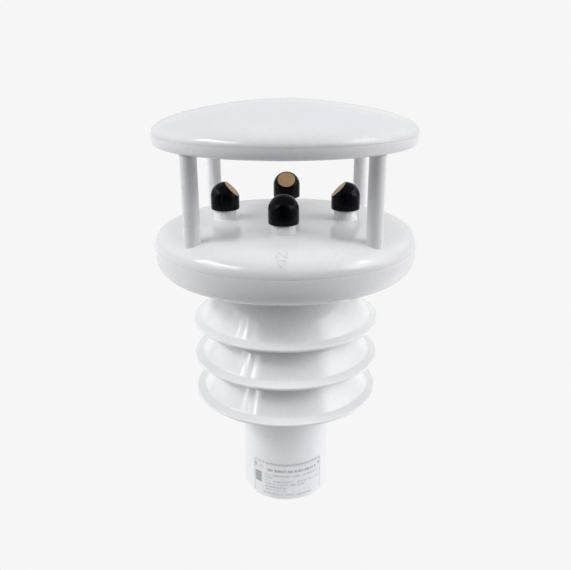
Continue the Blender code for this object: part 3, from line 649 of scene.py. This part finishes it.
# ------------------------------------------------------------------ louvre plates
for k, (nm, z0) in enumerate(zip(("bottom", "middle", "top"), RIM_Z)):
    ring = soften([(NECK_R, z0 + NECK_H, 0.6), (LIP_R, z0 + LIP_H, 1.6), (RIM_R, z0 + 1.35, 0.5), (RIM_R, z0, 0.4),
                   (RIM_R - 1.9, z0, 0.35), (cone(0.75, PLATE_T), z0 + 0.75, 1.0),
                   (cone(NECK_H, PLATE_T), z0 + NECK_H, 0.6)], seg=6)
    bm = bmesh.new()
    spin_into(bm, ring, 176)
    ear_top = z0 + 21.0 - (0.1 if k == 2 else 0.0)
    for az in EAR_AZ:
        x, y = polar(EAR_PCR, az)
        spin_into(bm, soften([(1.8, ear_top), (EAR_R, ear_top, 0.3), (EAR_R, z0 + 0.6, 0.3), (1.8, z0 + 0.6)], seg=2), 36, (x, y))
        a = math.radians(az)
        bmesh.ops.create_cube(bm, size=1.0, matrix=Matrix.Translation(Vector((34.1 * math.cos(a), 34.1 * math.sin(a), z0 + 16.2)) * MM)
                              @ Matrix.Rotation(a, 4, 'Z') @ Matrix.Diagonal((0.0058, 0.0036, 0.0064, 1.0)))
    piece(obj_from_bm("louvre_" + nm, bm), M_LOUVRE, ["louvre_plate_" + nm])

# ------------------------------------------------------------------ foot tube
prof = soften([(0.0, FLANGE_Z1), (FLANGE_R, FLANGE_Z1, 0.5), (FLANGE_R, FLANGE_Z0, 0.5), (TUBE_R, FLANGE_Z0, 2.5),
               (TUBE_R, 0.0, 1.1), (SOCKET_R, 0.0, 0.6), (SOCKET_R, SOCKET_TOP, 0.0), (UPPER_BORE_R, SOCKET_TOP, 0.0),
               (UPPER_BORE_R, FLANGE_Z0, 0.0), (0.0, FLANGE_Z0)], closed=False, seg=6)
tube = turned("foot_tube", prof, 144)
tools = []
for az in SET_AZ:
    a = math.radians(az)
    t = turned("tool", [(0.0, 4.0), (SET_R + 0.25, 4.0), (SET_R + 0.25, -4.0), (0.0, -4.0)], 40)
    t.data.transform(Matrix.Translation(Vector((23.0 * math.cos(a), 23.0 * math.sin(a), SET_Z)) * MM)
                     @ Matrix.Rotation(a, 4, 'Z') @ Matrix.Rotation(math.pi / 2, 4, 'Y'))
    tools.append(t)
cut(tube, tools)
piece(tube, M_TUBE, ["mount_tube"])

# rating plate: curved film, rounded corners, greeked print by UV
A0, A1, Z0, Z1 = 270.0 - 46.5, 270.0 + 54.0, 2.6, 24.4
me = bpy.data.meshes.new("rating_film")
bm = bmesh.new()
uvl = bm.loops.layers.uv.new("UVMap")
COLS, ROWS, CR = 96, 12, 0.9
grid = []
for j in range(ROWS + 1):
    row = []
    for i in range(COLS + 1):
        s, t = i / COLS, j / ROWS
        w = math.radians(A1 - A0) * (TUBE_R + 0.3)
        px, pz = s * w, t * (Z1 - Z0)
        # pull the corners in so that they are round
        cx = min(max(px, CR), w - CR)
        cz = min(max(pz, CR), (Z1 - Z0) - CR)
        dx, dz = px - cx, pz - cz
        if abs(dx) > 1e-9 and abs(dz) > 1e-9:
            d = max(abs(dx), abs(dz)) / math.hypot(dx, dz)
            px, pz = cx + dx * d, cz + dz * d
        az = A0 + (A1 - A0) * px / w
        row.append((px / w, pz / (Z1 - Z0), az, Z0 + pz))
    grid.append(row)
fronts = [[bm.verts.new((*[c * MM for c in polar(TUBE_R + 0.42, p[2])], p[3] * MM)) for p in row] for row in grid]
backs = [[bm.verts.new((*[c * MM for c in polar(TUBE_R + 0.06, p[2])], p[3] * MM)) for p in row] for row in grid]


def quad(vs, uvs):
    f = bm.faces.new(vs)
    for lp, q in zip(f.loops, uvs):
        lp[uvl].uv = q
    return f


for j in range(ROWS):
    for i in range(COLS):
        ids = ((j, i), (j, i + 1), (j + 1, i + 1), (j + 1, i))
        uvs = [grid[a][b][:2] for a, b in ids]
        quad([fronts[a][b] for a, b in ids], uvs)
        quad([backs[a][b] for a, b in ids][::-1], uvs[::-1])
edge = ([(0, i) for i in range(COLS + 1)] + [(j, COLS) for j in range(1, ROWS + 1)]
        + [(ROWS, i) for i in range(COLS - 1, -1, -1)] + [(j, 0) for j in range(ROWS - 1, 0, -1)])
for (a, b), (c, d) in zip(edge, edge[1:] + edge[:1]):
    quad([fronts[c][d], fronts[a][b], backs[a][b], backs[c][d]], [(0.5, 0.99)] * 4)
piece(obj_from_bm("rating_film", bm), M_LABEL, ["rating_label"])


# ------------------------------------------------------------------ screws
def cap_screw(name, head_r, head_h, shank_r, length, loc, socket, mat, nodes, up=True, body=STATION, xf=None):
    prof = [(0.0, length), (shank_r - 0.3, length), (shank_r, length - 0.3), (shank_r, 0.0), (head_r, 0.0),
            (head_r, -head_h + 0.3), (head_r - 0.09, -head_h + 0.09), (head_r - 0.3, -head_h), (0.0, -head_h)]
    ob = turned(name, prof, 40)
    cut(ob, [hexagon(socket, -head_h - 1.0, -head_h * 0.42)])
    ob.data.transform(Matrix.Translation(Vector(loc) * MM) @ (Matrix.Identity(4) if up else Matrix.Rotation(math.pi, 4, 'X')))
    return piece(ob, mat, nodes, body)


for tag, az in (("front", 270.0), ("back", 90.0), ("left", 180.0), ("right", 0.0)):
    x, y = polar(PAN_SCREW_R, az)
    cap_screw("under_screw_" + tag, 2.9, 2.2, 1.5, 18.2, (x, y, 139.7), 2.5, M_STEEL, ["pan_screw_" + tag])
for tag, az in zip("abc", EAR_AZ):
    x, y = polar(EAR_PCR, az)
    cap_screw("stack_screw_" + tag, 2.8, 2.6, 1.5, 75.0, (x, y, FLANGE_Z0 - 0.3), 2.5, M_STEEL, ["shield_screw_" + tag])
for tag, az in zip("abc", (30.0, 150.0, 270.0)):
    x, y = polar(17.8, az)
    cap_screw("base_screw_" + tag, 2.1, 1.2, 1.2, 6.8, (x, y, 40.3), 1.6, M_STEEL, ["plate_screw_" + tag])

for tag, az, body in (("right", 45.0, "right_set_screw"), ("left", 135.0, "left_set_screw")):
    a = math.radians(az)
    prof = soften([(0.0, 1.6), (SET_R, 1.6, 0.35), (SET_R, -1.6, 0.45), (0.0, -1.6)], closed=False)
    # fine thread as rings
    thread = [(0.0, 1.6), (SET_R - 0.35, 1.6), (SET_R - 0.05, 1.3)]
    z = 1.3
    while z > -1.15:
        thread += [(SET_R - 0.22, z - 0.16), (SET_R - 0.02, z - 0.32)]
        z -= 0.32
    thread += [(SET_R - 0.4, -1.6), (0.0, -1.6)]
    ob = turned("grub_" + tag, thread, 48)
    cut(ob, [hexagon(2.2, 0.2, 3.0)])
    ob.data.transform(Matrix.Translation(Vector((23.2 * math.cos(a), 23.2 * math.sin(a), SET_Z)) * MM)
                      @ Matrix.Rotation(a, 4, 'Z') @ Matrix.Rotation(math.pi / 2, 4, 'Y'))
    piece(ob, M_DARK, ["set_screw_" + tag], body)

# ------------------------------------------------------------------ connector
plate = turned("socket_plate", soften([(SOCKET_R - 0.3, 41.7, 0.2), (SOCKET_R - 0.3, 39.0, 0.2), (11.0, 39.0, 0.1), (11.0, 39.3, 0.0),
                                       (6.4, 39.3, 0.2), (6.4, 41.7, 0.2)], seg=2), 96)
tools = []
for az in (30.0, 150.0, 270.0):
    x, y = polar(17.8, az)
    tools += [solid_cyl(1.5, 36.0, 44.0, x, y, 24), solid_cyl(2.5, 36.0, 40.6, x, y, 32)]
cut(plate, tools)
piece(plate, M_NICKEL, ["connector_plate"])
thread = []
z = 34.6
while z > 24.4:
    thread += [(7.95, z), (7.55, z - 0.4)]
    z -= 0.8
prof = ([(6.0, 49.0), (6.0, 37.2), (10.5, 37.2), (10.5, 35.4), (10.3, 35.2), (8.0, 35.2)] + thread
        + [(7.95, 23.6), (7.8, 23.0), (6.75, 23.0), (6.6, 23.2), (6.6, 35.4), (4.6, 35.4), (4.6, 49.0)])
piece(turned("socket_shell", prof, 96), M_NICKEL, ["connector_shell"])
ins = turned("socket_insert", soften([(0.0, 34.9), (6.2, 34.9, 0.2), (6.2, 31.8, 0.25), (5.4, 31.8, 0.0), (5.3, 32.2, 0.0), (0.0, 32.2)], closed=False, seg=2), 64)
tools = [solid_cyl(0.95, 30.0, 37.0, *polar(3.2, 45.0 + 90.0 * i), 24) for i in range(4)]
cut(ins, tools)
piece(ins, M_INSERT, ["connector_insert"])
for i in range(4):
    x, y = polar(3.2, 45.0 + 90.0 * i)
    prof = [(0.0, 36.5), (0.65, 36.5), (0.65, 26.8), (0.55, 26.3), (0.3, 26.05), (0.0, 26.0)]
    piece(turned("contact_%d" % (i + 1), prof, 24, (x, y)), M_GOLD, ["connector_pin_%d" % (i + 1)])

# ------------------------------------------------------------------ air probe
prof = soften([(0.0, 142.6), (2.2, 142.6, 0.2), (2.2, 141.4), (9.5, 141.4, 0.3), (9.5, PAN_BOT + WALL + 0.3, 0.3), (6.2, PAN_BOT + WALL + 0.3),
               (6.2, 118.0, 0.3), (4.4, 118.0), (4.4, 104.0, 0.3), (0.0, 104.0)], closed=False, seg=3)
piece(turned("probe_tube", prof, 72), M_POST, ["air_probe"])
ring = [(6.4, 117.6)]
z = 116.6
while z > 95.5:
    ring += [(6.4, z), (6.1, z - 0.25), (6.1, z - 0.75), (6.4, z - 1.0)]
    z -= 1.8
ring += [(6.4, 93.5), (6.05, 92.5), (5.2, 92.0), (0.0, 92.0), (0.0, 94.0), (4.8, 94.0), (4.8, 117.6)]
bm = bmesh.new()
prof = ring
rings_open = prof
# turned cup: the profile starts and ends on its upper rim
spin_pts = prof[:prof.index((0.0, 92.0)) + 1]
outer_shell = spin_pts
ob = turned("probe_cap", [(4.8, 117.6)] + spin_pts[:-1] + [(0.6, 92.0), (0.6, 94.0), (4.8, 94.0)], 72)
piece(ob, M_FILTER, ["probe_filter"])

# ------------------------------------------------------------------ carried-over CAD nodes get finished materials
KEEP = {"top_gasket": M_RUBBER, "deck_gasket": M_RUBBER, "connector_seal": M_RUBBER, "main_board": M_BOARD,
        "connector_nut": M_NICKEL, "harness_cable": M_CABLE}
for t in ("front_left", "front_right", "back_left", "back_right"):
    KEEP["tie_screw_" + t] = M_STEEL
for t in "abcd":
    KEEP["board_screw_" + t] = M_STEEL
for t in SENSOR_AZ:
    KEEP["transducer_nut_" + t] = M_BRASS
for nm, mat in KEEP.items():
    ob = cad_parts[nm]
    if ob.material_slots:
        for s in ob.material_slots:
            s.material = mat
    else:
        ob.data.materials.append(mat)

# ------------------------------------------------------------------ floor, backdrop and light
# A pale cove lit from the left and the right, with a dark camera side.  The lamps are soft
# lobes of the world; the floor sends back a pool of light round the foot.
BG = 0.9216                      # pale grey of the studio, linear
LOBES = [   # azimuth, elevation, sharpness, radiance
    (200, 28.5, 3200, (8.00, 8.00, 8.00)),
    (211, 31.3, 3200, (17.00, 17.00, 17.00)),
    (208, 27.2, 3200, (11.00, 11.00, 11.00)),
    (224, 31.2, 3200, (11.00, 11.00, 11.00)),
    (219, 26.6, 3200, (5.00, 5.00, 5.00)),
    (227, 28.6, 3200, (13.00, 13.00, 13.00)),
    (  0,  5, 30, (2.59, 2.34, 2.20)),
    ( 60,  5, 30, (0.41, 0.54, 0.49)),
    ( 80,  5, 30, (0.62, 0.61, 0.51)),
    (100,  5, 30, (0.48, 0.48, 0.54)),
    (120,  5, 30, (0.70, 0.66, 0.68)),
    (180,  5, 30, (1.23, 1.32, 1.38)),
    (200,  5, 30, (0.23, 0.22, 0.15)),
    (  0, 25, 30, (0.80, 0.91, 1.08)),
    ( 20, 25, 30, (0.21, 0.33, 0.30)),
    ( 40, 25, 30, (1.13, 1.15, 1.25)),
    ( 60, 25, 30, (0.31, 0.33, 0.26)),
    ( 80, 25, 30, (0.25, 0.24, 0.36)),
    (100, 25, 30, (0.25, 0.27, 0.22)),
    (120, 25, 30, (0.14, 0.18, 0.18)),
    (140, 25, 30, (0.70, 0.74, 0.73)),
    (160, 25, 30, (0.92, 0.94, 0.95)),
    (200, 25, 30, (1.74, 1.82, 1.82)),
    (340, 25, 30, (4.34, 4.35, 4.29)),
    (  0, 45, 30, (1.97, 1.69, 1.93)),
    ( 24, 45, 30, (0.63, 0.82, 0.74)),
    ( 72, 45, 30, (0.24, 0.21, 0.30)),
    ( 96, 45, 30, (0.26, 0.23, 0.17)),
    (120, 45, 30, (0.21, 0.14, 0.20)),
    (168, 45, 30, (1.07, 1.12, 1.23)),
    (216, 45, 30, (0.03, 0.04, 0.03)),
    (240, 45, 30, (0.09, 0.06, 0.06)),
    (288, 45, 30, (0.16, 0.11, 0.10)),
    (312, 45, 30, (1.22, 1.19, 1.31)),
    (210, 24, 380, (2.01, 2.04, 2.08)),
    (218, 24, 380, (3.14, 3.23, 3.14)),
    (186, 32, 380, (10.56, 11.03, 10.30)),
    (202, 32, 380, (2.09, 2.07, 2.17)),
    (210, 32, 380, (1.85, 1.73, 1.81)),
    (226, 32, 380, (4.22, 4.24, 4.35)),
    (186, 42, 380, (18.13, 18.71, 18.32)),
    (194, 42, 380, (11.47, 11.55, 11.53)),
    (202, 42, 380, (11.90, 12.48, 12.43)),
    (210, 42, 380, (7.21, 7.61, 6.83)),
    (218, 42, 380, (12.17, 11.77, 13.38)),
    (226, 42, 380, (2.26, 2.98, 3.24)),
    (332, 20, 380, (5.24, 6.40, 6.46)),
    (342, 20, 380, (1.28, 1.16, 1.68)),
    (332, 28, 380, (0.63, 0.43, 0.68)),
    (332, 38, 380, (4.17, 5.43, 6.04)),
    (352, 38, 380, (11.83, 12.14, 11.45)),
]
POOLS = [   # floor: inner fade, outer fade, azimuth, radiance
    (-1.00, -0.50, 0.08, 0.14, None, (0.77, 0.78, 0.80)),
    (0.08, 0.14, 0.25, 0.40, 0, (1.30, 1.28, 1.36)),
    (0.08, 0.14, 0.25, 0.40, 90, (0.73, 0.59, 0.51)),
    (0.08, 0.14, 0.25, 0.40, 180, (1.11, 1.14, 1.15)),
    (0.08, 0.14, 0.25, 0.40, 270, (0.14, 0.19, 0.19)),
    (0.25, 0.40, 6.00, 7.00, 0, (0.55, 0.52, 0.57)),
    (0.25, 0.40, 6.00, 7.00, 45, (0.04, 0.06, 0.04)),
    (0.25, 0.40, 6.00, 7.00, 90, (0.84, 0.76, 0.80)),
    (0.25, 0.40, 6.00, 7.00, 135, (0.09, 0.12, 0.14)),
    (0.25, 0.40, 6.00, 7.00, 180, (0.60, 0.54, 0.56)),
]


def stage_material(name):
    n = Nodes(name)
    t = n.t
    geo = t.nodes.new("ShaderNodeNewGeometry")
    sep = t.nodes.new("ShaderNodeSeparateXYZ")
    n.link(geo.outputs["Position"], sep.inputs[0])
    x, y = sep.outputs[0], sep.outputs[1]
    r = n.math('SQRT', n.math('ADD', n.math('MULTIPLY', x, x), n.math('MULTIPLY', y, y)))
    total = None
    for r0, r1, r2, r3, az, rgb in POOLS:
        rise = n.remap(r, r0, r1, 0.0, 1.0)
        rise.node.interpolation_type = 'SMOOTHSTEP'
        drop = n.remap(r, r2, r3, 1.0, 0.0)
        drop.node.interpolation_type = 'SMOOTHSTEP'
        f = n.math('MULTIPLY', rise, drop)
        if az is not None:
            a = math.radians(az)
            c = n.math('DIVIDE', n.math('ADD', n.math('MULTIPLY', x, math.cos(a)), n.math('MULTIPLY', y, math.sin(a))), r)
            f = n.math('MULTIPLY', f, n.math('POWER', n.math('MAXIMUM', c, 0.0), 2.0))
        v = t.nodes.new("ShaderNodeVectorMath")
        v.operation = 'SCALE'
        v.inputs[0].default_value = rgb
        n.link(f, v.inputs["Scale"])
        if total is None:
            total = v.outputs[0]
        else:
            add = t.nodes.new("ShaderNodeVectorMath")
            add.operation = 'ADD'
            n.link(total, add.inputs[0])
            n.link(v.outputs[0], add.inputs[1])
            total = add.outputs[0]
    low = t.nodes.new("ShaderNodeEmission")
    n.link(total, low.inputs["Color"])
    em = t.nodes.new("ShaderNodeEmission")
    em.inputs["Color"].default_value = (1.0, 1.0, 1.0, 1.0)
    em.inputs["Strength"].default_value = BG
    lp = t.nodes.new("ShaderNodeLightPath")
    mix = t.nodes.new("ShaderNodeMixShader")
    n.link(lp.outputs["Is Camera Ray"], mix.inputs[0])
    n.link(low.outputs[0], mix.inputs[1])
    n.link(em.outputs[0], mix.inputs[2])
    n.link(mix.outputs[0], n.out.inputs["Surface"])
    return n.mat


bm = bmesh.new()
bmesh.ops.create_circle(bm, cap_ends=True, cap_tris=True, segments=96, radius=7.0)
floor = obj_from_bm("studio_floor", bm)
floor.location = (0.0, 0.0, -0.0002)
floor.data.materials.append(stage_material("studio_floor_paper"))

world = bpy.data.worlds.new("studio")
bpy.context.scene.world = world
world.use_nodes = True
wt = world.node_tree
for nd in list(wt.nodes):
    wt.nodes.remove(nd)


def wnode(kind, **kw):
    nd = wt.nodes.new(kind)
    for k, v in kw.items():
        setattr(nd, k, v)
    return nd


def wmath(op, a, b=None):
    m = wnode("ShaderNodeMath", operation=op)
    for i, v in enumerate((a, b)):
        if v is None:
            continue
        if isinstance(v, (int, float)):
            m.inputs[i].default_value = v
        else:
            wt.links.new(v, m.inputs[i])
    return m.outputs[0]


direction = wnode("ShaderNodeTexCoord").outputs["Generated"]


def lobe(az, el, k):
    """Soft round lamp: exp(k (cos angle - 1))."""
    a, e = math.radians(az), math.radians(el)
    m = wnode("ShaderNodeVectorMath", operation='DOT_PRODUCT')
    wt.links.new(direction, m.inputs[0])
    m.inputs[1].default_value = (math.cos(a) * math.cos(e), math.sin(a) * math.cos(e), math.sin(e))
    return wmath('EXPONENT', wmath('MULTIPLY', wmath('SUBTRACT', m.outputs["Value"], 1.0), float(k)))


def tinted(f, rgb, total):
    v = wnode("ShaderNodeVectorMath", operation='SCALE')
    v.inputs[0].default_value = rgb
    wt.links.new(f, v.inputs["Scale"])
    if total is None:
        return v.outputs[0]
    add = wnode("ShaderNodeVectorMath", operation='ADD')
    wt.links.new(total, add.inputs[0])
    wt.links.new(v.outputs[0], add.inputs[1])
    return add.outputs[0]


total = None
for az, el, k, rgb in LOBES:
    total = tinted(lobe(az, el, k), rgb, total)
bg_light = wnode("ShaderNodeBackground")
wt.links.new(total, bg_light.inputs["Color"])
bg_cam = wnode("ShaderNodeBackground")
bg_cam.inputs["Color"].default_value = (1.0, 1.0, 1.0, 1.0)
bg_cam.inputs["Strength"].default_value = BG
lp = wnode("ShaderNodeLightPath")
mx = wnode("ShaderNodeMixShader")
w_out = wnode("ShaderNodeOutputWorld")
wt.links.new(lp.outputs["Is Camera Ray"], mx.inputs[0])
wt.links.new(bg_light.outputs[0], mx.inputs[1])
wt.links.new(bg_cam.outputs[0], mx.inputs[2])
wt.links.new(mx.outputs[0], w_out.inputs["Surface"])

# ------------------------------------------------------------------ camera
cam_data = bpy.data.cameras.new("camera")
cam_data.sensor_width = 36.0
cam_data.lens = 646.86 * 36.0 / 571.0
cam_data.clip_start = 0.01
cam_data.clip_end = 50.0
cam = bpy.data.objects.new("camera", cam_data)
cam.location = (0.0089, -0.3426, 0.2470)
cam.rotation_euler = (Matrix.Rotation(0.026, 3, 'Z') @ Matrix.Rotation(math.radians(90.0 - 19.48), 3, 'X')
                      @ Matrix.Rotation(-0.0033, 3, 'Z')).to_euler()
bpy.context.scene.collection.objects.link(cam)
bpy.context.scene.camera = cam
bpy.context.scene.view_settings.view_transform = 'Standard'
